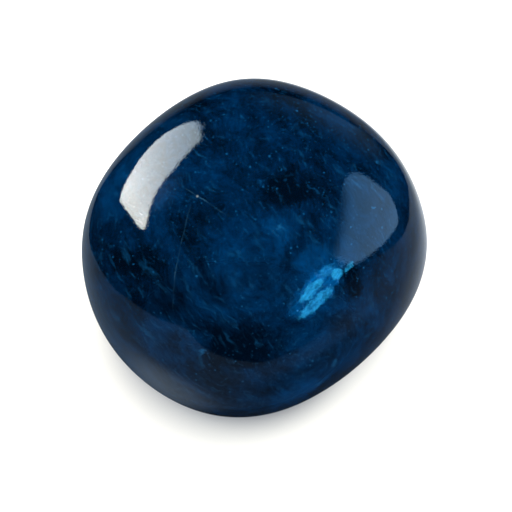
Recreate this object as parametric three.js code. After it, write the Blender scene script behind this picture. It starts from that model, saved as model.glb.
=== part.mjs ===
// Tumbled indigolite tourmaline: one polished, rounded pebble that rests on a small worn flat.
// Millimetres, +Z up. The origin is the middle of the stone's footprint, on the surface it rests on.
import * as THREE from 'three';
import { mergeVertices } from 'three/addons/utils/BufferGeometryUtils.js';

// The rough was worn flat on several sides before its edges were rounded off. Each worn face is given by
// the way it looks, as an azimuth from the front (-Y) towards the right (+X) and a tilt above level, both
// in degrees, and by how far it lies from the heart of the stone, in millimetres.
const WORN_FACES = [
  { name: 'crown', azimuth: 0, tilt: 72, distance: 12.4 },
  { name: 'crown_back', azimuth: 180, tilt: 46, distance: 16.0 },
  { name: 'front_high', azimuth: 0, tilt: 30, distance: 14.9 },
  { name: 'front_low', azimuth: 6, tilt: -28, distance: 16.2 },
  { name: 'front_left_low', azimuth: -42, tilt: -28, distance: 16.2 },
  { name: 'front_right_low', azimuth: 47, tilt: -26, distance: 14.3 },
  { name: 'front_right', azimuth: 52, tilt: 22, distance: 14.2 },
  { name: 'left', azimuth: -90, tilt: -4, distance: 16.2 },
  { name: 'left_front', azimuth: -50, tilt: 8, distance: 16.7 },
  { name: 'left_back', azimuth: -125, tilt: 24, distance: 14.0 },
  { name: 'right_back', azimuth: 130, tilt: 24, distance: 14.7 },
  { name: 'right', azimuth: 92, tilt: -6, distance: 17.4 },
  { name: 'back', azimuth: 178, tilt: -2, distance: 18.9 },
  { name: 'back_low', azimuth: 180, tilt: -48, distance: 16.0 },
  { name: 'underside', azimuth: 0, tilt: -90, distance: 12.0 },
];
// How sharply two worn faces meet: 2 would wear the stone to a ball, and a large number leaves crisp edges.
const EDGE_SHARPNESS = 5.4;
// Depth of the flat that the stone rests on, below its heart.
const REST_DEPTH = 11.2;
// Each edge of the starting icosahedron is cut into this many parts plus one.
const DETAIL = 16;
const STONE_COLOUR = 0x06304f;

function facing(azimuth, tilt) {
  const turn = THREE.MathUtils.degToRad(azimuth);
  const lift = THREE.MathUtils.degToRad(tilt);
  return new THREE.Vector3(
    Math.sin(turn) * Math.cos(lift),
    -Math.cos(turn) * Math.cos(lift),
    Math.sin(lift),
  );
}

const faces = WORN_FACES.map(({ azimuth, tilt, distance }) => ({
  normal: facing(azimuth, tilt),
  distance,
}));

// Distance from the heart of the stone to its surface along a unit direction: the worn planes are blended
// by a power mean, so that each stays nearly flat in its middle and rolls smoothly into the next.
function surfaceRadius(direction) {
  const total = faces.reduce((sum, { normal, distance }) => {
    const rise = Math.max(0, direction.dot(normal) / distance);
    return sum + rise ** EDGE_SHARPNESS;
  }, 0);
  const radius = total ** (-1 / EDGE_SHARPNESS);
  const depth = -direction.z * radius;
  return depth > REST_DEPTH ? radius * (REST_DEPTH / depth) : radius;
}

function stoneGeometry() {
  const ball = new THREE.IcosahedronGeometry(1, DETAIL);
  ball.deleteAttribute('normal');
  ball.deleteAttribute('uv');
  const stone = mergeVertices(ball, 1e-4);
  const position = stone.getAttribute('position');
  const point = new THREE.Vector3();
  for (let i = 0; i < position.count; i += 1) {
    point.fromBufferAttribute(position, i).normalize();
    point.multiplyScalar(surfaceRadius(point));
    position.setXYZ(i, point.x, point.y, point.z);
  }
  stone.computeBoundingBox();
  const { min, max } = stone.boundingBox;
  stone.translate(-(min.x + max.x) / 2, -(min.y + max.y) / 2, -min.z);
  stone.computeVertexNormals();
  return stone;
}

function indigoliteStone() {
  const polished = new THREE.MeshStandardMaterial({
    color: STONE_COLOUR,
    roughness: 0.06,
    metalness: 0,
  });
  const stone = new THREE.Mesh(stoneGeometry(), polished);
  stone.name = 'indigolite_stone';
  return stone;
}

const specimen = new THREE.Group();
specimen.add(indigoliteStone());

export default specimen;
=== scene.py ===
"""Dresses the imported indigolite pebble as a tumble-polished stone on a pale studio floor."""

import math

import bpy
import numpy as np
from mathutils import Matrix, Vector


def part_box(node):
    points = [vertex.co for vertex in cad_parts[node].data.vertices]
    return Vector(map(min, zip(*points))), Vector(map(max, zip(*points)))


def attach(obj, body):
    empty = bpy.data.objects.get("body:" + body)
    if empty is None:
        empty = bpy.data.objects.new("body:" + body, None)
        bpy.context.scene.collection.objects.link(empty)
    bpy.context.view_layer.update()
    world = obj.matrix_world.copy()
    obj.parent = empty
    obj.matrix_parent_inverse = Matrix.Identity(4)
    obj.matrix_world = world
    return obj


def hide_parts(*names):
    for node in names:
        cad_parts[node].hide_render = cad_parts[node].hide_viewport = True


bl_info = {
    "name": "Indigolite Pebble",
    "version": (1, 0, 0),
    "blender": (4, 5, 0),
    "location": "3D View > Sidebar > Pebble",
    "description": "A tumbled indigolite tourmaline with its clouds, healed cracks and cleavage flash",
    "category": "Object",
}

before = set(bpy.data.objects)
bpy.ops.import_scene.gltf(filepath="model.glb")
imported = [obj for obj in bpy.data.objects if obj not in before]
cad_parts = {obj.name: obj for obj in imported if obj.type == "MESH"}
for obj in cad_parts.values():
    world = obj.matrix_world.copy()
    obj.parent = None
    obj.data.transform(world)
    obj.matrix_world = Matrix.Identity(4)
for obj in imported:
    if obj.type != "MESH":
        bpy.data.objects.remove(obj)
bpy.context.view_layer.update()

STONE_LOW, STONE_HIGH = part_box("indigolite_stone")
MM = 0.001

# The heart of the stone, in millimetres, as all places below are.
HEART = (-0.3, -0.9, 11.2)

# The rough was worn flat on several sides before its edges were rounded off. Each worn face is given by
# the azimuth it looks to, from the front (-Y) towards the right (+X), its tilt above level, both in
# degrees, and its distance from the heart of the stone in millimetres.
WORN_FACES = {
    "crown": (0, 72, 12.4),
    "crown_back": (180, 46, 16.0),
    "front_high": (0, 30, 14.9),
    "front_low": (6, -28, 16.2),
    "front_left_low": (-42, -28, 16.2),
    "front_right_low": (47, -26, 14.3),
    "front_right": (52, 22, 14.2),
    "left": (-90, -4, 16.2),
    "left_front": (-50, 8, 16.7),
    "left_back": (-125, 24, 14.0),
    "right_back": (130, 24, 14.7),
    "right": (92, -6, 17.4),
    "back": (178, -2, 18.9),
    "back_low": (180, -48, 16.0),
    "underside": (0, -90, 12.0),
}

# Where the stone is lighter or darker than elsewhere: the middle of each patch and its reach along
# X, Y and Z, in millimetres, and how much lighter or darker it is. The clouds are where it is cloudier and
# the shades where it is darker. The glows are painted light, where the light of the floor and of the flash
# shines through the stone.
PATCHES = {
    "middle_cloud": ((-1.3, -10.0, 20.1), (3.4, 3.0, 3.0), 0.10),
    "right_cloud": ((1.9, -7.4, 21.5), (2.4, 2.6, 2.4), 0.15),
    "top_cloud": ((-2.0, 0.6, 24.4), (2.6, 2.0, 2.0), 0.10),
    "left_cloud": ((-4.0, -3.3, 23.3), (2.4, 2.4, 2.0), 0.06),
    "left_rim_cloud": ((-11.5, -3.1, 21.6), (2.4, 3.4, 3.0), 0.10),
    "left_middle_cloud": ((-7.1, -7.9, 21.1), (2.0, 3.0, 2.4), 0.07),
    # Painted light: glows by the flash and at the foot, where light shines through the stone.
    "flash_painted_glow": ((4.3, -10.0, 19.0), (3.4, 3.4, 3.4), 0.22),
    "foot_painted_glow": ((3.6, -14.4, 9.5), (4.4, 2.8, 3.4), 0.25),
    "right_foot_painted_glow": ((7.6, -12.4, 10.5), (4.0, 4.0, 3.6), 0.09),
    "low_cloud": ((-4.4, -14.2, 15.4), (2.2, 2.0, 2.2), 0.14),
    "right_rim_cloud": ((11.1, -1.3, 20.8), (3.2, 4.0, 3.4), 0.06),
    "middle_shade": ((2.6, -4.6, 22.7), (3.8, 2.9, 2.9), -0.17),
    "low_shade": ((-1.7, -14.4, 15.6), (4.8, 2.8, 2.8), -0.22),
    "left_shade": ((-9.0, -9.4, 19.6), (3.6, 3.4, 3.2), -0.18),
    "left_low_shade": ((-7.8, -11.6, 17.8), (3.2, 3.0, 2.8), -0.14),
    "flash_shade": ((7.6, -9.4, 17.9), (1.5, 1.6, 1.6), -0.19),
    "top_shade": ((-5.5, 4.8, 23.4), (5.0, 4.0, 3.0), -0.12),
    "back_top_shade": ((1.5, 5.0, 23.6), (5.0, 4.0, 3.0), -0.12),
    # Painted light: a glow by the right rim.
    "right_rim_painted_glow": ((11.5, -5.1, 17.9), (3.0, 3.0, 3.0), 0.05),
}

# Small bright marks just under the polish: middle, reach and strength, as above.
MARKS = {
    "rim_mark": ((9.6, -1.1, 22.2), (0.80, 0.30, 0.30), 0.6),
    "curd_mark": ((1.9, -7.4, 21.5), (0.60, 0.3, 0.3), 0.55),
    "box_mark": ((9.2, -4.7, 20.75), (0.70, 0.16, 0.22), 0.55),
    "foot_mark": ((6.2, -13.1, 11.4), (0.45, 0.35, 1.0), 0.5),
    "foot_curl": ((5.0, -13.6, 9.4), (0.60, 0.50, 0.7), 0.5),
    "low_mark": ((-4.3, -14.3, 14.9), (0.7, 0.45, 0.45), 0.5),
}
# A speck on the long crack, which shows white.
SPECK = ((-4.6, -5.2, 22.6), (0.15, 0.15, 0.4), 1.0)
SPECK_WHITE = "#d8e6f0"

# How much the billows, the curds and the grain add to the clouds, and the sums that are clear and cloudy.
BILLOWS, CURDS, GRAIN = 0.42, 0.62, 0.26
CLEAR_AT, CLOUDY_AT = 0.50, 0.92

# Two cracks that healed while the crystal grew. Each is a plane through three points of the surface, in
# millimetres, and shows as a hairline near its middle point, as far as its reach.
HEALED_CRACKS = {
    "long_crack": ((-5.0, -5.3, 22.5), (-6.0, -9.3, 20.4), (-6.6, -12.7, 17.0), 6.2),
    "cross_crack": ((-6.8, -4.0, 22.9), (-3.9, -5.6, 22.4), (-0.9, -7.8, 21.4), 3.6),
}
# Half the width of a hairline, which is wider than a real one, so that it shows from a step away.
HAIRLINE = 0.075
# The crystal grew along this direction, which draws its clouds out into fibres.
GROWTH = (0.62, -0.58, -0.53)

# The heights of the polish's fine ripples and of its wider swell, in millimetres.
RIPPLE, SWELL = 0.0028, 0.009

# The cleavage flash: its middle, the way it runs and the way it faces, in the part's frame. The split is
# dark and pearly in turn. The polish over it is painted a brighter blue, a painted highlight that also lets
# the split show through.
FLASH_MIDDLE = (4.84, -9.79, 17.18)
FLASH_ALONG = (0.713, 0.649, 0.266)
FLASH_FACING = (0.230, -0.575, 0.785)
SPLIT_DARK, SPLIT_PEARL, PAINTED_FLASH_BLUE = "#08213a", "#d4e8ff", "#24bcff"
# The lobes of the flash's painted highlight on the polish: how far along and across their middles lie,
# their half lengths and half widths, in millimetres, and how bright they are.
PAINTED_FLASH_LOBES = {
    "upper_ridge": ((-0.95, 0.38), (2.05, 0.72), 1.0),
    "lower_ridge": ((-1.3, -0.62), (2.75, 0.70), 0.85),
    "high_lobe": ((1.4, -0.05), (0.85, 0.70), 1.0),
    "high_veil": ((1.0, 0.62), (1.15, 0.80), 0.35),
    "tail": ((2.5, -0.36), (0.85, 0.32), 0.9),
}

# The softboxes that the polish mirrors. Every place on them is an azimuth and a tilt from the stone, as
# above: the points of the edge, the dim end, the bright end and the middle of a hotter spot. Ends have a
# colour in light against white, and the spot has a reach in millimetres and a gain. The light is the even
# share plus the spot's, and it sets in over the onset's share of the way from the dim end to the bright one.
SOFTBOXES = {
    "key_softbox": {
        "away": 280,
        "edge": [
            (-157, 45), (-157, 57), (-154, 64), (-143, 68), (-124, 71), (-105, 70), (-82, 67), (-67, 63),
            (-60, 57), (-67, 54), (-82, 51), (-103, 39), (-112, 37), (-126, 36), (-139, 32), (-147, 31),
            (-153, 36),
        ],
        "dim": ((-157, 57), (3.1, 4.0, 4.6)),
        "bright": ((-111, 45), (11.4, 11.6, 10.9)),
        "spot": ((-118, 50), 110, 0.16),
        "even": 1.0,
        "onset": 0.0,
    },
    "key_halo": {
        "away": 300,
        "edge": [(165, 55), (90, 84), (-13, 62), (-45, 31), (-77, 15), (-114, 9), (-141, 9), (-174, 24)],
        "dim": ((-135, 82), (0.22, 0.36, 0.58)),
        "bright": ((-76, 65), (0.22, 0.36, 0.58)),
        "spot": ((-98, 69), 85, 0.8),
        "even": 0.0,
        "onset": 0.0,
    },
    "side_softbox": {
        "away": 280,
        "edge": [
            (88, 58), (97, 53), (98, 42), (97, 28), (99, 10), (97, -7), (87, -4), (79, 1), (71, 8),
            (63, 17), (58, 28), (55, 38), (59, 47), (70, 55),
        ],
        "dim": ((59, 47), (0.30, 1.02, 2.20)),
        "bright": ((94, 25), (0.60, 1.20, 2.00)),
        "spot": ((84, 25), 60, 0.08),
        "even": 1.0,
        "onset": 0.36,
    },
    "rear_glow": {
        "away": 290,
        "edge": [(-174, 12), (145, 3), (117, 3), (100, 33), (104, 65), (-162, 71), (-155, 34)],
        "dim": ((180, 60), (0.11, 0.19, 0.28)),
        "bright": ((148, 18), (0.11, 0.19, 0.28)),
        "spot": ((148, 26), 230, 1.0),
        "even": 0.0,
        "onset": 0.0,
    },
}

# The white card that the stone stands on, as the polish mirrors it: the azimuths its edge is seen at from
# the stone, in degrees as above, how far away it is there and how high, in millimetres. Its front corners
# and its back curl up.
CARD_EDGE = [
    (124, 54, 0), (117, 58, 0), (110, 58, 0), (101, 57, 0), (92, 64, 0), (85, 86, 0), (78, 150, 6),
    (68, 200, 34), (58, 200, 42), (52, 200, 34), (48, 180, 14), (44, 110, 0), (38, 95, 0), (31, 100, 0),
    (21, 93, 0), (11, 90, 0), (0, 118, 0), (-12, 175, 0), (-20, 200, 14), (-26, 200, 44), (-34, 200, 34),
    (-44, 200, 12), (-55, 150, 0), (-66, 74, 0), (-76, 60, 0), (-88, 52, 0), (-100, 44, 0), (-111, 45, 0),
    (-120, 49, 0), (-130, 53, 0), (-138, 80, 0), (-147, 160, 30), (-158, 200, 80), (-170, 200, 90),
    (175, 200, 90), (162, 200, 90), (150, 190, 70), (142, 130, 20), (134, 70, 0),
]
CARD_LIFT = 0.1

# The card's colours as the polish mirrors them, with light and shade painted in: painted shade in front of
# the stone, painted light behind it, the painted pool of light at its left foot, the wide painted pool
# behind it, and its painted shade.
SHADED_FRONT_CARD, LIT_BACK_CARD = "#404d5b", "#616c76"
SIDE_POOL_CARD, REAR_POOL_CARD = "#798690", "#ced4da"
SHADED_CARD = "#1d2228"

# The pools of light and the shades painted on the card: the middle of each, its reach, and its strength.
# The painted shades lie at the right front foot, under the front, and far out to the right.
SIDE_POOL = ((-11.5, -15.0, 0.0), (11.0, 11.0, 90.0), 1.0)
REAR_POOL = ((10.0, 26.0, 0.0), (33.0, 40.0, 90.0), 0.95)
CARD_SHADES = [
    ((13.0, -18.0, 0.0), (31.0, 31.0, 90.0), 1.0),
    ((-0.5, -11.0, 0.0), (9.0, 8.0, 90.0), 1.0),
    ((120.0, -85.0, 0.0), (190.0, 130.0, 190.0), 1.1),
]

# The shadow that the stone casts on the floor round its foot, painted into the floor's colour: middle, reach
# and strength. The see-through stone lets the lamp's light through, so the shadow is painted there.
FOOT_SHADE = ((-0.3, -1.4, 0.0), (11.0, 12.8, 9.0), 4.5)
FLOOR_RADIUS = 3.0

# What the camera looks at, in millimetres.
AIM = (-0.063, -1.447, 10.9)


def srgb(code):
    """Linear red, green and blue of an sRGB colour written as "#rrggbb"."""
    parts = [int(code[i : i + 2], 16) / 255 for i in (1, 3, 5)]
    return tuple(p / 12.92 if p <= 0.04045 else ((p + 0.055) / 1.055) ** 2.4 for p in parts)


def facing(azimuth, tilt):
    """Unit vector that looks to an azimuth, in degrees from -Y towards +X, tilted above level."""
    turn, lift = math.radians(azimuth), math.radians(tilt)
    return np.array([math.sin(turn) * math.cos(lift), -math.cos(turn) * math.cos(lift), math.sin(lift)])


def node(tree, kind, feeds=None, **settings):
    """Adds a node, sets its properties and feeds its inputs: a socket is linked, a value is stored."""
    made = tree.nodes.new(kind)
    for name, value in settings.items():
        setattr(made, name, value)
    for name, value in (feeds or {}).items():
        if isinstance(value, bpy.types.NodeSocket):
            tree.links.new(value, made.inputs[name])
        else:
            made.inputs[name].default_value = value
    return made


class StoneShape(bpy.types.PropertyGroup):
    """Sizes of the pebble's polished surface."""

    edge_sharpness: bpy.props.FloatProperty(
        name="Edge sharpness",
        description="How crisply two worn faces meet: 2 wears the stone to a ball",
        default=5.4, min=2.0, max=20.0,
    )
    rest_depth: bpy.props.FloatProperty(
        name="Rest depth",
        description="Depth of the flat that the stone rests on, below its heart",
        default=11.2 * MM, unit="LENGTH",
    )
    wave_height: bpy.props.FloatProperty(
        name="Wave height",
        description="Height of the shallow waves that tumbling leaves on the polish",
        default=0.006 * MM, unit="LENGTH", precision=5,
    )
    cuts: bpy.props.IntProperty(
        name="Cuts",
        description="Grid squares along each side of the six patches that wrap the stone",
        default=110, min=8, max=120,
    )


class StoneFinish(bpy.types.PropertyGroup):
    """Colours and optics of the polished tourmaline."""

    deep: bpy.props.FloatVectorProperty(
        name="Deep blue", description="Body colour where the stone is clear",
        subtype="COLOR", size=3, min=0.0, max=1.0, default=srgb("#001a34"),
    )
    cloud: bpy.props.FloatVectorProperty(
        name="Cloud blue", description="Body colour where fine inclusions scatter the light",
        subtype="COLOR", size=3, min=0.0, max=1.0, default=srgb("#006abc"),
    )
    fleck: bpy.props.FloatVectorProperty(
        name="Fleck blue", description="Colour of the streaks and flecks that lie just under the polish",
        subtype="COLOR", size=3, min=0.0, max=1.0, default=srgb("#2a94e0"),
    )
    crack: bpy.props.FloatVectorProperty(
        name="Crack grey", description="Colour of the healed cracks' hairlines",
        subtype="COLOR", size=3, min=0.0, max=1.0, default=srgb("#4d8ab4"),
    )
    refraction: bpy.props.FloatProperty(
        name="Refractive index", description="Tourmaline's index of refraction, between 1.62 and 1.64",
        default=1.63, min=1.0, max=3.0,
    )
    clearness: bpy.props.FloatProperty(
        name="Clearness", description="Share of the light that passes into the stone and isn't scattered",
        subtype="FACTOR", default=0.8, min=0.0, max=1.0,
    )
    passed: bpy.props.FloatVectorProperty(
        name="Passed colour", description="Colour of the light that gets through thick stone",
        subtype="COLOR", size=3, min=0.0, max=1.0, default=srgb("#2fbcd9"),
    )
    density: bpy.props.FloatProperty(
        name="Density", description="How strongly the stone absorbs the other colours, per metre",
        default=420.0, min=0.0,
    )
    streak_share: bpy.props.FloatProperty(
        name="Streaks", description="How strongly the feathery streaks show",
        subtype="FACTOR", default=0.28, min=0.0, max=1.0,
    )
    fleck_share: bpy.props.FloatProperty(
        name="Flecks", description="How strongly the flecks show",
        subtype="FACTOR", default=0.7, min=0.0, max=1.0,
    )
    crack_share: bpy.props.FloatProperty(
        name="Cracks", description="How strongly the healed cracks show",
        subtype="FACTOR", default=0.75, min=0.0, max=1.0,
    )


class Flash(bpy.types.PropertyGroup):
    """Sizes of the cleavage flash inside the stone."""

    length: bpy.props.FloatProperty(
        name="Length", description="From the flash's low end to its high end",
        default=7.6 * MM, unit="LENGTH",
    )
    width: bpy.props.FloatProperty(
        name="Width", description="Across the flash where it is widest",
        default=2.9 * MM, unit="LENGTH",
    )
    thickness: bpy.props.FloatProperty(
        name="Thickness", description="Thickness of the split along the cleavage",
        default=0.06 * MM, unit="LENGTH", precision=5,
    )
    step_height: bpy.props.FloatProperty(
        name="Step height", description="Height of the steps in which the cleavage split",
        default=0.10 * MM, unit="LENGTH", precision=5,
    )


class Studio(bpy.types.PropertyGroup):
    """Camera, floor and lamps."""

    floor_seen: bpy.props.FloatVectorProperty(
        name="Floor", description="Albedo of the floor where the camera sees it",
        subtype="COLOR", size=3, min=0.0, max=1.0, default=srgb("#fffcf3"),
    )
    floor_lit: bpy.props.FloatVectorProperty(
        name="Floor's light", description="Albedo of the floor for the light that it gives back",
        subtype="COLOR", size=3, min=0.0, max=1.0, default=srgb("#b3b3b3"),
    )
    # The floor's colour right at the stone's foot: a painted shadow.
    foot_shade: bpy.props.FloatVectorProperty(
        name="Foot shade", description="Albedo of the floor right at the stone's foot",
        subtype="COLOR", size=3, min=0.0, max=1.0, default=srgb("#959597"),
    )

    lens: bpy.props.FloatProperty(
        name="Lens", description="Focal length in millimetres on a 36 mm wide frame",
        default=85.0, unit="CAMERA",
    )
    distance: bpy.props.FloatProperty(
        name="Camera distance", description="From the stone's middle to the camera",
        default=105 * MM, unit="LENGTH",
    )
    elevation: bpy.props.FloatProperty(
        name="Camera elevation", description="Angle above level that the camera looks down from",
        default=math.radians(50), unit="ROTATION",
    )
    fill_radiance: bpy.props.FloatProperty(
        name="Fill brightness", description="Brightness of the overhead fill against white", default=2.6,
    )
    fill_side: bpy.props.FloatProperty(
        name="Fill side", description="Side of the square overhead fill", default=0.9, unit="LENGTH",
    )
    fill_height: bpy.props.FloatProperty(
        name="Fill height", description="Height of the overhead fill over the floor",
        default=0.6, unit="LENGTH",
    )
    sky: bpy.props.FloatProperty(
        name="Backdrop", description="Brightness of the room behind the floor's edge", default=1.0,
    )
    soft_light: bpy.props.FloatProperty(
        name="Soft light", description="Brightness of the room for matt surfaces", default=1.1,
    )
    dark_room: bpy.props.FloatProperty(
        name="Dark room", description="Brightness of the room as the polish mirrors it", default=0.004,
    )


def ball_grid(cuts):
    """Unit directions and squares over a ball, as six square patches.

    On each patch the two parameters run from -45 to 45 degrees. A point is at the tangents of both,
    on the face of a cube of half-width 1, and is then pulled in to the unit ball. The patches' shared
    edges are merged, so the ball is closed and has no poles.
    """
    steps = np.tan(np.linspace(-math.pi / 4, math.pi / 4, cuts + 1))
    across, along = np.meshgrid(steps, steps, indexing="ij")
    index = np.arange((cuts + 1) ** 2).reshape(cuts + 1, cuts + 1)
    square = np.stack([index[:-1, :-1], index[1:, :-1], index[1:, 1:], index[:-1, 1:]], -1).reshape(-1, 4)
    points, squares = [], []
    for axis in range(3):
        for side in (1, -1):
            face = np.empty((cuts + 1, cuts + 1, 3))
            face[..., axis] = side
            face[..., (axis + 1) % 3] = side * across
            face[..., (axis + 2) % 3] = along
            squares.append(square + len(points) * len(index) ** 2)
            points.append(face.reshape(-1, 3))
    points = np.concatenate(points)
    _, first, merged = np.unique(np.round(points, 6), axis=0, return_index=True, return_inverse=True)
    directions = points[first] / np.linalg.norm(points[first], axis=1, keepdims=True)
    return directions, merged.reshape(-1)[np.concatenate(squares)]


def stone_points(directions, shape):
    """Points of the pebble's surface along unit directions from its heart, in metres.

    Each worn face pushes back by the direction's share along the face's normal, over its distance. The
    radius is one over the power mean of these, so a face stays nearly flat in its middle and rolls
    smoothly into the next. A point below the resting flat slides up its own direction on to the flat.
    Last, the stone is fitted to the frame's box, from which it differs by less than 0.01 mm before.
    """
    normals = np.array([facing(azimuth, tilt) for azimuth, tilt, _ in WORN_FACES.values()])
    distances = np.array([distance * MM for *_, distance in WORN_FACES.values()])
    power = shape.edge_sharpness
    rise = np.maximum(directions @ normals.T / distances, 0)
    radius = (rise**power).sum(1) ** (-1 / power)
    swell = directions @ np.array([[13.0, 5.0, -8.0], [-6.0, 11.0, 12.0], [5.0, -15.0, 7.0]]).T
    radius = radius + shape.wave_height * (np.sin(swell).sum(1) - 3) / 3
    depth = -directions[:, 2] * radius
    radius = np.where(depth > shape.rest_depth, radius * shape.rest_depth / np.maximum(depth, 1e-9), radius)
    points = directions * radius[:, None]
    low, high = points.min(0), points.max(0)
    frame_low, frame_high = np.array(STONE_LOW), np.array(STONE_HIGH)
    return frame_low + (points - low) * (frame_high - frame_low) / (high - low)


def flash_sheet(flash):
    """Points and faces of the cleavage flash, a thin stepped sheet, closed all round, in metres.

    One parameter runs along the sheet and one across it, both from -1 to 1. Its half width is the root
    of one less the square of the first, less a taper and a ragged share that is a sum of three sines.
    Its height is a slow wave plus steps: the second parameter, bent by the first, times the number of
    steps, less its whole part. The back is the same grid one thickness deeper.
    """
    along, across = np.meshgrid(np.linspace(-1, 1, 97), np.linspace(-1, 1, 41), indexing="ij")
    ragged = 0.10 * np.sin(9 * along + 1) + 0.07 * np.sin(23 * along) + 0.05 * np.sin(41 * along + 2)
    half = np.sqrt(1 - 0.97 * along**2) * (0.74 - 0.28 * along + ragged)
    bend = 0.12 * np.sin(2.6 * along + 0.6)
    stair = across * 3.1 + 0.9 * along + 0.3 * np.sin(7 * along)
    height = 0.16 * MM * np.sin(2.2 * along + 1.4 * across) + flash.step_height * (stair - np.floor(stair))
    run, face = np.array(FLASH_ALONG), np.array(FLASH_FACING)
    side = np.cross(face, run)
    front = np.array(FLASH_MIDDLE) * MM + (
        along[..., None] * run * flash.length / 2
        + (half * across + bend)[..., None] * side * flash.width / 2
        + height[..., None] * face
    )
    back = front - face * flash.thickness
    rows, columns = along.shape
    index = np.arange(rows * columns).reshape(rows, columns)
    top = np.stack([index[:-1, :-1], index[1:, :-1], index[1:, 1:], index[:-1, 1:]], -1).reshape(-1, 4)
    rim = np.concatenate([index[:-1, 0], index[-1, :-1], index[:0:-1, -1], index[0, :0:-1]])
    after = np.roll(rim, -1)
    count = rows * columns
    wall = np.stack([rim, rim + count, after + count, after], -1)
    faces = np.concatenate([top, top[:, ::-1] + count, wall])
    return np.concatenate([front.reshape(-1, 3), back.reshape(-1, 3)]), faces


def mesh_piece(name, points, faces):
    """A smooth-shaded mesh object in the frame, from arrays of points and of faces with equal sides."""
    mesh = bpy.data.meshes.new(name)
    mesh.from_pydata(points, [], faces)
    mesh.polygons.foreach_set("use_smooth", np.ones(len(faces), bool))
    mesh.update()
    piece = bpy.data.objects.new(name, mesh)
    bpy.context.scene.collection.objects.link(piece)
    return piece


def drifted(tree, place, scale, reach):
    """Slides each place about by a slow noise, by up to about half the reach, in millimetres."""
    noise = node(
        tree, "ShaderNodeTexNoise", {"Vector": place, "Scale": scale, "Detail": 3.0},
    ).outputs["Color"]
    centred = node(tree, "ShaderNodeVectorMath", {0: noise, 1: (0.5,) * 3}, operation="SUBTRACT").outputs[0]
    return node(
        tree, "ShaderNodeVectorMath", {0: centred, 1: (reach,) * 3, 2: place}, operation="MULTIPLY_ADD",
    ).outputs[0]


def patch(tree, place, middle, reach, strength):
    """A strength at a middle that fades to nothing at the reach along each axis, in millimetres."""
    offset = node(tree, "ShaderNodeVectorMath", {0: place, 1: middle}, operation="SUBTRACT").outputs[0]
    share = node(tree, "ShaderNodeVectorMath", {0: offset, 1: reach}, operation="DIVIDE").outputs[0]
    distance = node(tree, "ShaderNodeVectorMath", {0: share}, operation="LENGTH").outputs["Value"]
    return node(tree, "ShaderNodeMapRange", {
        "Value": distance, "From Min": 1.0, "From Max": 0.0, "To Min": 0.0, "To Max": strength,
    }, interpolation_type="SMOOTHERSTEP").outputs["Result"]


def added(tree, values):
    """The sum of several values."""
    total = values[0]
    for value in values[1:]:
        total = node(tree, "ShaderNodeMath", {0: total, 1: value}, operation="ADD").outputs[0]
    return total


def share_along(tree, place, axis):
    """How far along an axis a place lies, as a single value."""
    return node(
        tree, "ShaderNodeVectorMath", {0: place, 1: tuple(axis)}, operation="DOT_PRODUCT",
    ).outputs["Value"]


def in_axes(tree, place, axes):
    """A place's shares along three axes, as a vector. An axis shorter than 1 draws a pattern out."""
    shares = [share_along(tree, place, axis) for axis in axes]
    return node(tree, "ShaderNodeCombineXYZ", dict(enumerate(shares))).outputs[0]


def growth_axes(draw):
    """Three square axes, the first along the crystal's growth and shortened to a share."""
    growth = np.array(GROWTH) / np.linalg.norm(GROWTH)
    side = np.cross(growth, (0.0, 0.0, 1.0))
    side /= np.linalg.norm(side)
    return growth * draw, side, np.cross(growth, side)


def clouds(tree, place):
    """How cloudy the stone is at a place, with the patches' painted glows, from 0 to 1: billows 6 mm wide,
    curdled down to 0.1 mm.
    """
    swirled = drifted(tree, place, 0.11, 8.0)
    curled = drifted(tree, swirled, 0.6, 1.5)
    billow = node(
        tree, "ShaderNodeTexNoise", {"Vector": swirled, "Scale": 0.17, "Detail": 3.0},
    ).outputs["Fac"]
    curd = node(tree, "ShaderNodeTexNoise", {
        "Vector": in_axes(tree, curled, growth_axes(0.55)), "Scale": 0.55, "Detail": 10.0, "Roughness": 0.7,
    }).outputs["Fac"]
    grain = node(tree, "ShaderNodeTexNoise", {
        "Vector": in_axes(tree, curled, growth_axes(0.45)), "Scale": 3.2, "Detail": 3.0, "Roughness": 0.7,
    }).outputs["Fac"]
    near = drifted(tree, drifted(tree, place, 0.45, 3.4), 1.6, 1.0)
    # The patches: clouds, darker shades and glows that are painted light.
    cloud_patches_and_painted_glows = added(tree, [patch(tree, near, *values) for values in PATCHES.values()])
    cloud = cloud_patches_and_painted_glows
    for pattern, share in ((billow, BILLOWS), (curd, CURDS), (grain, GRAIN)):
        cloud = node(
            tree, "ShaderNodeMath", {0: pattern, 1: share, 2: cloud}, operation="MULTIPLY_ADD",
        ).outputs[0]
    cloud = node(tree, "ShaderNodeMapRange", {
        "Value": cloud, "From Min": CLEAR_AT, "From Max": CLOUDY_AT,
    }).outputs["Result"]
    return node(tree, "ShaderNodeMath", {0: cloud, 1: 1.5}, operation="POWER", use_clamp=True).outputs[0]


def streaks(tree, place, per_mm, least):
    """Feathery marks, so many to a millimetre across, drawn out five times along the growth: 0 to 1."""
    bent = drifted(tree, place, 0.3, 2.6)
    drawn = in_axes(tree, bent, growth_axes(0.2))
    noise = node(
        tree, "ShaderNodeTexNoise", {"Vector": drawn, "Scale": per_mm, "Detail": 4.0, "Roughness": 0.6},
    ).outputs["Fac"]
    return node(tree, "ShaderNodeMapRange", {
        "Value": noise, "From Min": least, "From Max": least + 0.16,
    }, interpolation_type="SMOOTHSTEP").outputs["Result"]


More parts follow.
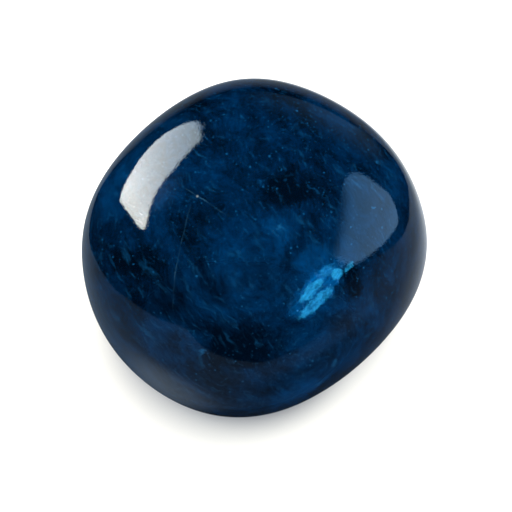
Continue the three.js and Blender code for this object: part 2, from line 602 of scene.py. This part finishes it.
def flecks(tree, place, per_mm, radius):
    """Specks of a radius in millimetres, one in each cell, of which the polish shows a few: 0 to 1."""
    cells = node(tree, "ShaderNodeTexVoronoi", {"Vector": place, "Scale": per_mm})
    chance = node(tree, "ShaderNodeSeparateColor", {"Color": cells.outputs["Color"]}).outputs[0]
    size = node(tree, "ShaderNodeMath", {0: chance, 1: 2.0}, operation="POWER").outputs[0]
    size = node(tree, "ShaderNodeMath", {0: size, 1: radius * per_mm}, operation="MULTIPLY").outputs[0]
    share = node(
        tree, "ShaderNodeMath", {0: cells.outputs["Distance"], 1: size}, operation="DIVIDE",
    ).outputs[0]
    return node(tree, "ShaderNodeMapRange", {
        "Value": share, "From Min": 1.0, "From Max": 0.4,
    }, interpolation_type="SMOOTHSTEP").outputs["Result"]


def hairline(tree, place, first, middle, last, reach):
    """A healed crack's line where its plane cuts the surface, broken here and there: 0 to 1.

    The plane holds the crack's middle, the way from its first point to its last and the way to the heart.
    """
    first, middle, last = (np.array(point) for point in (first, middle, last))
    normal = np.cross(last - first, middle - np.array(HEART))
    normal /= np.linalg.norm(normal)
    level = share_along(tree, drifted(tree, place, 0.7, 0.25), normal)
    away = node(
        tree, "ShaderNodeMath", {0: level, 1: float(middle @ normal)}, operation="SUBTRACT",
    ).outputs[0]
    away = node(tree, "ShaderNodeMath", {0: away}, operation="ABSOLUTE").outputs[0]
    line = node(tree, "ShaderNodeMapRange", {
        "Value": away, "From Min": HAIRLINE, "From Max": 0.01,
    }, interpolation_type="SMOOTHSTEP").outputs["Result"]
    shown = patch(tree, place, tuple(middle), (reach,) * 3, 1.0)
    faded = node(tree, "ShaderNodeTexNoise", {"Vector": place, "Scale": 1.1, "Detail": 2.0}).outputs["Fac"]
    faded = node(tree, "ShaderNodeMapRange", {
        "Value": faded, "From Min": 0.36, "From Max": 0.70,
    }).outputs["Result"]
    line = node(tree, "ShaderNodeMath", {0: line, 1: shown}, operation="MULTIPLY").outputs[0]
    return node(tree, "ShaderNodeMath", {0: line, 1: faded}, operation="MULTIPLY", use_clamp=True).outputs[0]


def painted_flash_lobes(tree, place):
    """How brightly the flash is painted on the polish at a place, a painted highlight: its frayed lobes, 0 to
    1.
    """
    run, face = np.array(FLASH_ALONG), np.array(FLASH_FACING)
    offset = node(tree, "ShaderNodeVectorMath", {0: place, 1: FLASH_MIDDLE}, operation="SUBTRACT").outputs[0]
    curled = drifted(tree, in_axes(tree, offset, (run, np.cross(face, run), face)), 2.4, 0.65)
    frayed = drifted(tree, curled, 6.5, 0.3)
    lobes = []
    for middle, reach, light in PAINTED_FLASH_LOBES.values():
        body = patch(tree, frayed, (*middle, 0.0), (*reach, 4.0), 1.0)
        lobes.append(node(tree, "ShaderNodeMapRange", {
            "Value": body, "From Min": 0.06, "From Max": 0.36, "To Min": 0.0, "To Max": light,
        }, interpolation_type="SMOOTHSTEP").outputs["Result"])
    drawn = node(tree, "ShaderNodeMapping", {"Vector": frayed, "Scale": (0.8, 1.5, 0.3)}).outputs[0]
    grain = node(
        tree, "ShaderNodeTexNoise", {"Vector": drawn, "Scale": 2.0, "Detail": 6.0, "Roughness": 0.62},
    ).outputs["Fac"]
    grain = node(tree, "ShaderNodeMapRange", {
        "Value": grain, "From Min": 0.36, "From Max": 0.58, "To Min": 0.4, "To Max": 1.0,
    }, interpolation_type="SMOOTHSTEP").outputs["Result"]
    return node(
        tree, "ShaderNodeMath", {0: added(tree, lobes), 1: grain}, operation="MULTIPLY", use_clamp=True,
    ).outputs[0]


def flash_light(tree, place):
    """How bright the cleavage is at a place: rough steps drawn out along it, dark at its edges: 0 to 1."""
    run, face = np.array(FLASH_ALONG), np.array(FLASH_FACING)
    offset = node(tree, "ShaderNodeVectorMath", {0: place, 1: FLASH_MIDDLE}, operation="SUBTRACT").outputs[0]
    flat = drifted(tree, in_axes(tree, offset, (run, np.cross(face, run), face)), 1.6, 0.9)
    body = patch(tree, flat, (-0.3, 0.0, 0.0), (4.3, 1.75, 9.0), 1.0)
    body = node(tree, "ShaderNodeMapRange", {
        "Value": body, "From Min": 0.04, "From Max": 0.4,
    }).outputs["Result"]
    drawn = node(tree, "ShaderNodeMapping", {"Vector": flat, "Scale": (0.7, 1.3, 0.3)}).outputs[0]
    step = node(
        tree, "ShaderNodeTexNoise", {"Vector": drawn, "Scale": 1.2, "Detail": 8.0, "Roughness": 0.68},
    ).outputs["Fac"]
    step = node(tree, "ShaderNodeMapRange", {
        "Value": step, "From Min": 0.38, "From Max": 0.54, "To Min": 0.3, "To Max": 1.0,
    }).outputs["Result"]
    return node(tree, "ShaderNodeMath", {0: body, 1: step}, operation="MULTIPLY").outputs[0]


def millimetres(tree):
    """The place on a piece in the part's frame, in millimetres."""
    place = node(tree, "ShaderNodeTexCoord").outputs["Object"]
    return node(tree, "ShaderNodeVectorMath", {0: place, "Scale": 1 / MM}, operation="SCALE").outputs[0]


def mixed(tree, share, base, top):
    """The base colour with a share of the top colour laid over it."""
    base, top = (value if isinstance(value, bpy.types.NodeSocket) else (*value, 1) for value in (base, top))
    return node(tree, "ShaderNodeMix", {"Factor": share, 6: base, 7: top}, data_type="RGBA").outputs[2]


def tourmaline_material(finish):
    """Tumble-polished indigolite: glassy and dark blue, with clouds, streaks, flecks and healed cracks, and
    with painted glows and a painted flash.

    The polish gives it sharp reflections that waver a little. Lamps shine into it, so what lies inside is
    lit. The ripples of the polish are drawn coarser than real ones, so that they show.
    """
    material = bpy.data.materials.new("tumble_polished_indigolite")
    material.use_nodes = True
    tree = material.node_tree
    tree.nodes.clear()
    place = millimetres(tree)
    # The clouds' blue, which also paints the patches' glows as painted light.
    colour = mixed(tree, clouds(tree, place), finish.deep, finish.cloud)
    feathers = node(tree, "ShaderNodeMath", {
        0: streaks(tree, place, 2.8, 0.565), 1: streaks(tree, place, 1.2, 0.575),
    }, operation="MAXIMUM").outputs[0]
    feathers = node(
        tree, "ShaderNodeMath", {0: feathers, 1: finish.streak_share}, operation="MULTIPLY",
    ).outputs[0]
    colour = mixed(tree, feathers, colour, finish.fleck)
    dust = node(
        tree, "ShaderNodeMath", {0: flecks(tree, place, 3.3, 0.10), 1: 0.5}, operation="MULTIPLY",
    ).outputs[0]
    dots = added(tree, [flecks(tree, place, 0.9, 0.17), flecks(tree, place, 1.9, 0.12), dust])
    dots = node(
        tree, "ShaderNodeMath", {0: dots, 1: finish.fleck_share}, operation="MULTIPLY", use_clamp=True,
    ).outputs[0]
    colour = mixed(tree, dots, colour, finish.fleck)
    lines = added(tree, [hairline(tree, place, *values) for values in HEALED_CRACKS.values()])
    lines = node(
        tree, "ShaderNodeMath", {0: lines, 1: finish.crack_share}, operation="MULTIPLY", use_clamp=True,
    ).outputs[0]
    colour = mixed(tree, lines, colour, finish.crack)
    near = drifted(tree, place, 2.4, 0.8)
    marks = added(tree, [patch(tree, near, *values) for values in MARKS.values()])
    marks = node(tree, "ShaderNodeMapRange", {
        "Value": marks, "From Min": 0.05, "From Max": 0.55, "To Min": 0.0, "To Max": 0.85,
    }).outputs["Result"]
    colour = mixed(tree, marks, colour, finish.fleck)
    colour = mixed(tree, patch(tree, place, *SPECK), colour, srgb(SPECK_WHITE))
    # The flash painted on the polish in a brighter blue: a painted highlight, which also lets the split
    # inside show through.
    colour = mixed(tree, painted_flash_lobes(tree, place), colour, srgb(PAINTED_FLASH_BLUE))
    ripple = node(tree, "ShaderNodeTexNoise", {"Vector": place, "Scale": 7.0, "Detail": 1.0}).outputs["Fac"]
    swell = node(tree, "ShaderNodeTexNoise", {"Vector": place, "Scale": 0.5, "Detail": 1.0}).outputs["Fac"]
    height = node(tree, "ShaderNodeMath", {0: ripple, 1: RIPPLE}, operation="MULTIPLY").outputs[0]
    height = node(
        tree, "ShaderNodeMath", {0: swell, 1: SWELL, 2: height}, operation="MULTIPLY_ADD",
    ).outputs[0]
    polish = node(tree, "ShaderNodeBump", {"Height": height, "Distance": MM, "Strength": 1.0}).outputs[0]
    haze = node(tree, "ShaderNodeMapRange", {
        "Value": swell, "From Min": 0.3, "From Max": 0.7, "To Min": 0.02, "To Max": 0.05,
    }).outputs["Result"]
    surface = node(tree, "ShaderNodeBsdfPrincipled", {
        "Base Color": colour,
        "Roughness": haze,
        "Normal": polish,
        "IOR": finish.refraction,
        "Transmission Weight": finish.clearness,
    }).outputs[0]
    is_shadow = node(tree, "ShaderNodeLightPath").outputs["Is Shadow Ray"]
    clear = node(tree, "ShaderNodeBsdfTransparent").outputs[0]
    surface = node(tree, "ShaderNodeMixShader", {0: is_shadow, 1: surface, 2: clear}).outputs[0]
    inside = node(tree, "ShaderNodeVolumeAbsorption", {
        "Color": (*finish.passed, 1), "Density": finish.density,
    }).outputs[0]
    node(tree, "ShaderNodeOutputMaterial", {"Surface": surface, "Volume": inside})
    return material


def cleavage_material(finish):
    """A split along the crystal's cleavage. It is pale blue and pearly, as air in it throws light back."""
    material = bpy.data.materials.new("split_cleavage_plane")
    material.use_nodes = True
    tree = material.node_tree
    tree.nodes.clear()
    light = flash_light(tree, millimetres(tree))
    colour = mixed(tree, light, srgb(SPLIT_DARK), srgb(SPLIT_PEARL))
    surface = node(tree, "ShaderNodeBsdfPrincipled", {
        "Base Color": colour, "Roughness": 0.35, "IOR": finish.refraction,
    }).outputs[0]
    node(tree, "ShaderNodeOutputMaterial", {"Surface": surface})
    return material


class PEBBLE_OT_stone(bpy.types.Operator):
    """Make the polished stone in place of its solid"""

    bl_idname = "pebble.stone"
    bl_label = "Polished stone"

    def execute(self, context):
        directions, squares = ball_grid(context.scene.pebble_shape.cuts)
        points = stone_points(directions, context.scene.pebble_shape)
        piece = mesh_piece("polished_stone", points, squares)
        piece.data.materials.append(tourmaline_material(context.scene.pebble_finish))
        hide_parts("indigolite_stone")
        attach(piece, "root")
        return {"FINISHED"}


class PEBBLE_OT_flash(bpy.types.Operator):
    """Make the bright split along the cleavage, inside the stone"""

    bl_idname = "pebble.flash"
    bl_label = "Cleavage flash"

    def execute(self, context):
        points, faces = flash_sheet(context.scene.pebble_flash)
        piece = mesh_piece("cleavage_flash", points, faces)
        piece.data.materials.append(cleavage_material(context.scene.pebble_finish))
        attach(piece, "root")
        return {"FINISHED"}


def floor_material(studio):
    """Matt white card, overexposed to white where it is seen, but for a painted shadow round the stone's
    foot.
    """
    material = bpy.data.materials.new("matt_white_card")
    material.use_nodes = True
    tree = material.node_tree
    tree.nodes.clear()
    # The camera sees the floor darker round the stone's foot: a painted shadow.
    seen = mixed(tree, patch(tree, millimetres(tree), *FOOT_SHADE), studio.floor_seen, studio.foot_shade)
    is_seen = node(tree, "ShaderNodeLightPath").outputs["Is Camera Ray"]
    colour = mixed(tree, is_seen, studio.floor_lit, seen)
    matt = node(tree, "ShaderNodeBsdfDiffuse", {"Color": colour}).outputs[0]
    node(tree, "ShaderNodeOutputMaterial", {"Surface": matt})
    return material


def mirrored_card_material():
    """Matt white card as the polish mirrors it: painted dimmer in front and far behind, with painted pools
    and shades.
    """
    material = bpy.data.materials.new("matt_white_card_mirrored")
    material.use_nodes = True
    tree = material.node_tree
    tree.nodes.clear()
    place = millimetres(tree)
    depth = node(tree, "ShaderNodeSeparateXYZ", {0: place}).outputs["Y"]
    # Painted shade in front of the stone and painted light behind it.
    beside = node(tree, "ShaderNodeMapRange", {
        "Value": depth, "From Min": -5.0, "From Max": 15.0,
    }).outputs["Result"]
    # Painted shade far behind, where the card darkens to black.
    behind = node(tree, "ShaderNodeMapRange", {
        "Value": depth, "From Min": 35.0, "From Max": 125.0,
    }).outputs["Result"]
    colour = mixed(tree, beside, srgb(SHADED_FRONT_CARD), srgb(LIT_BACK_CARD))
    colour = mixed(tree, behind, colour, srgb("#000000"))
    # Painted pools of light at the stone's left foot and behind it.
    colour = mixed(tree, patch(tree, place, *SIDE_POOL), colour, srgb(SIDE_POOL_CARD))
    colour = mixed(tree, patch(tree, place, *REAR_POOL), colour, srgb(REAR_POOL_CARD))
    # Painted shades at the right front foot, under the front and far out to the right.
    shaded = added(tree, [patch(tree, place, *values) for values in CARD_SHADES])
    colour = mixed(tree, shaded, colour, srgb(SHADED_CARD))
    matt = node(tree, "ShaderNodeBsdfDiffuse", {"Color": colour}).outputs[0]
    node(tree, "ShaderNodeOutputMaterial", {"Surface": matt})
    return material


def mirrored_card(material):
    """The card that only the polish mirrors, a little over the floor, so that the floor doesn't shade it.

    Its edge is a closed curve through the edge's points. From the edge it runs straight to a ring at 0.3 of
    the edge's distance, on the level, and the ring is filled from its middle.
    """
    edge = np.array([(*facing(azimuth, 0)[:2] * away, high + CARD_LIFT) for azimuth, away, high in CARD_EDGE])
    edge = looped(edge * MM, 4)
    edge[:, 2] = np.maximum(edge[:, 2], CARD_LIFT * MM)
    count = len(edge)
    level = (0.0, 0.0, CARD_LIFT * MM)
    flat = edge * (0.3, 0.3, 0.0) + level
    here = np.arange(count)
    after = (here + 1) % count
    foot = np.full(count, 2 * count)
    ring = np.stack([here, after, after + count, here + count], 1)
    inner = np.stack([here + count, after + count, foot], 1)
    points = np.concatenate([edge, flat, [level]])
    piece = mesh_piece("mirrored_card", points, ring.tolist() + inner.tolist())
    piece.data.materials.append(material)
    piece.visible_camera = piece.visible_diffuse = piece.visible_shadow = piece.visible_transmission = False


def floor(material):
    """The floor, a flat disc, which the polish doesn't mirror."""
    angles = np.linspace(0, 2 * math.pi, 128, endpoint=False)
    rim = np.stack([np.cos(angles), np.sin(angles), np.zeros_like(angles)], 1) * FLOOR_RADIUS
    piece = mesh_piece("floor", rim, [list(range(len(rim)))])
    piece.data.materials.append(material)
    piece.visible_glossy = False


def looped(outline, steps):
    """A closed curve through an outline's points: on each stretch a cubic that heeds both neighbours."""
    before, here, after, beyond = (np.roll(outline, turn, 0)[:, None] for turn in (1, 0, -1, -2))
    t = np.linspace(0, 1, steps, endpoint=False)[None, :, None]
    bend = (2 * before - 5 * here + 4 * after - beyond) * t**2 + (3 * (here - after) + beyond - before) * t**3
    return (here + ((after - before) * t + bend) / 2).reshape(-1, 3)


def on_card(ways, card):
    """Points of a card that are seen from the stone's heart at some azimuths and tilts, in metres.

    The card is given by the direction of its middle and its distance, and is square to that direction. A
    point lies in its own direction, at the distance over the cosine between that and the middle's.
    """
    middle, away = card
    ways = np.array([facing(*way) for way in ways])
    return ways / (ways @ middle)[:, None] * away + np.array(HEART) * MM


def softbox_material(name, box, card):
    """A lit diffuser, from a dim colour at one place to a bright one at another, with a hotter spot."""
    material = bpy.data.materials.new(name + "_diffuser")
    material.use_nodes = True
    tree = material.node_tree
    tree.nodes.clear()
    place = node(tree, "ShaderNodeTexCoord").outputs["Object"]
    (dim_way, dim), (bright_way, bright), (spot_way, reach, gain) = box["dim"], box["bright"], box["spot"]
    dim_at, bright_at, spot_at = on_card([dim_way, bright_way, spot_way], card)
    run = bright_at - dim_at
    offset = node(tree, "ShaderNodeVectorMath", {0: place, 1: tuple(dim_at)}, operation="SUBTRACT").outputs[0]
    share = share_along(tree, offset, run / (run @ run))
    colour = mixed(tree, share, dim, bright)
    spot = patch(tree, place, tuple(spot_at), (reach * MM,) * 3, gain)
    strength = added(tree, [spot, box["even"]])
    if box["onset"]:
        start = node(tree, "ShaderNodeMapRange", {
            "Value": share, "From Min": 0.0, "From Max": box["onset"], "To Min": 0.0, "To Max": 1.0,
        }, interpolation_type="SMOOTHSTEP").outputs["Result"]
        strength = node(tree, "ShaderNodeMath", {0: strength, 1: start}, operation="MULTIPLY").outputs[0]
    light = node(tree, "ShaderNodeEmission", {"Color": colour, "Strength": strength}).outputs[0]
    node(tree, "ShaderNodeOutputMaterial", {"Surface": light})
    return material


def softbox(name, box):
    """A flat softbox with a rounded outline. It shows only where the stone mirrors it."""
    middle = np.mean([facing(*way) for way in box["edge"]], 0)
    card = middle / np.linalg.norm(middle), box["away"] * MM
    outline = looped(on_card(box["edge"], card), 8)
    piece = mesh_piece(name, outline, [list(range(len(outline)))])
    piece.data.materials.append(softbox_material(name, box, card))
    piece.visible_camera = piece.visible_diffuse = piece.visible_shadow = piece.visible_transmission = False


def set_world(studio):
    """Pale behind the floor's edge, a soft fill for matt surfaces, and a dark room in the reflections."""
    world = bpy.data.worlds.new("studio")
    world.use_nodes = True
    tree = world.node_tree
    tree.nodes.clear()
    path = node(tree, "ShaderNodeLightPath")
    seen = node(tree, "ShaderNodeMix", {
        "Factor": path.outputs["Is Camera Ray"], 2: studio.dark_room, 3: studio.sky,
    }).outputs[0]
    strength = node(tree, "ShaderNodeMix", {
        "Factor": path.outputs["Is Diffuse Ray"], 2: seen, 3: studio.soft_light,
    }).outputs[0]
    light = node(tree, "ShaderNodeBackground", {"Color": (1, 1, 1, 1), "Strength": strength}).outputs[0]
    node(tree, "ShaderNodeOutputWorld", {"Surface": light})
    bpy.context.scene.world = world


def overhead_fill(radiance, side, height):
    """A square area lamp above the stone, as bright as a radiance asks, that the polish doesn't mirror."""
    lamp = bpy.data.lights.new("overhead_fill", "AREA")
    lamp.shape = "SQUARE"
    lamp.size = side
    lamp.energy = radiance * math.pi * side * side
    piece = bpy.data.objects.new("overhead_fill", lamp)
    piece.location = (side * 0.2, side * -0.12, height)
    piece.visible_glossy = piece.visible_transmission = piece.visible_camera = False
    bpy.context.scene.collection.objects.link(piece)


class PEBBLE_OT_stage(bpy.types.Operator):
    """Make the pale floor, the softboxes and the camera"""

    bl_idname = "pebble.stage"
    bl_label = "Studio"

    def execute(self, context):
        studio = context.scene.pebble_studio
        floor(floor_material(studio))
        mirrored_card(mirrored_card_material())
        for name, box in SOFTBOXES.items():
            softbox(name, box)
        overhead_fill(studio.fill_radiance, studio.fill_side, studio.fill_height)
        set_world(studio)
        lens = bpy.data.cameras.new("camera")
        lens.lens = studio.lens
        lens.sensor_width = 36.0
        lens.clip_start, lens.clip_end = 0.005, 10.0
        camera = bpy.data.objects.new("camera", lens)
        back = Vector(facing(0, math.degrees(studio.elevation)))
        camera.location = Vector(AIM) * MM + back * studio.distance
        camera.rotation_mode = "QUATERNION"
        camera.rotation_quaternion = (-back).to_track_quat("-Z", "Y")
        context.scene.collection.objects.link(camera)
        context.scene.camera = camera
        context.scene.view_settings.view_transform = "Standard"
        return {"FINISHED"}


GROUPS = {
    "pebble_studio": Studio, "pebble_shape": StoneShape, "pebble_finish": StoneFinish, "pebble_flash": Flash,
}
OPERATORS = {
    PEBBLE_OT_stage: ("pebble_studio",),
    PEBBLE_OT_stone: ("pebble_shape", "pebble_finish"),
    PEBBLE_OT_flash: ("pebble_flash",),
}


class PEBBLE_PT_panel(bpy.types.Panel):
    """Lists the pebble's operators, each over its sizes and colours."""

    bl_idname = "PEBBLE_PT_panel"
    bl_label = "Indigolite pebble"
    bl_space_type = "VIEW_3D"
    bl_region_type = "UI"
    bl_category = "Pebble"

    def draw(self, context):
        for operator, groups in OPERATORS.items():
            box = self.layout.box()
            box.operator(operator.bl_idname)
            for group in groups:
                for name in GROUPS[group].__annotations__:
                    box.prop(getattr(context.scene, group), name)


def register():
    """Adds the settings, the operators and the panel to Blender."""
    for name, group in GROUPS.items():
        bpy.utils.register_class(group)
        setattr(bpy.types.Scene, name, bpy.props.PointerProperty(type=group))
    for kind in (*OPERATORS, PEBBLE_PT_panel):
        bpy.utils.register_class(kind)


def unregister():
    """Takes away what register adds, in the opposite order."""
    for kind in reversed((*OPERATORS, PEBBLE_PT_panel)):
        bpy.utils.unregister_class(kind)
    for name, group in reversed(GROUPS.items()):
        delattr(bpy.types.Scene, name)
        bpy.utils.unregister_class(group)


def main():
    """Makes the studio and the stone."""
    register()
    bpy.ops.pebble.stage()
    bpy.ops.pebble.stone()
    bpy.ops.pebble.flash()


if __name__ == "__main__":
    main()
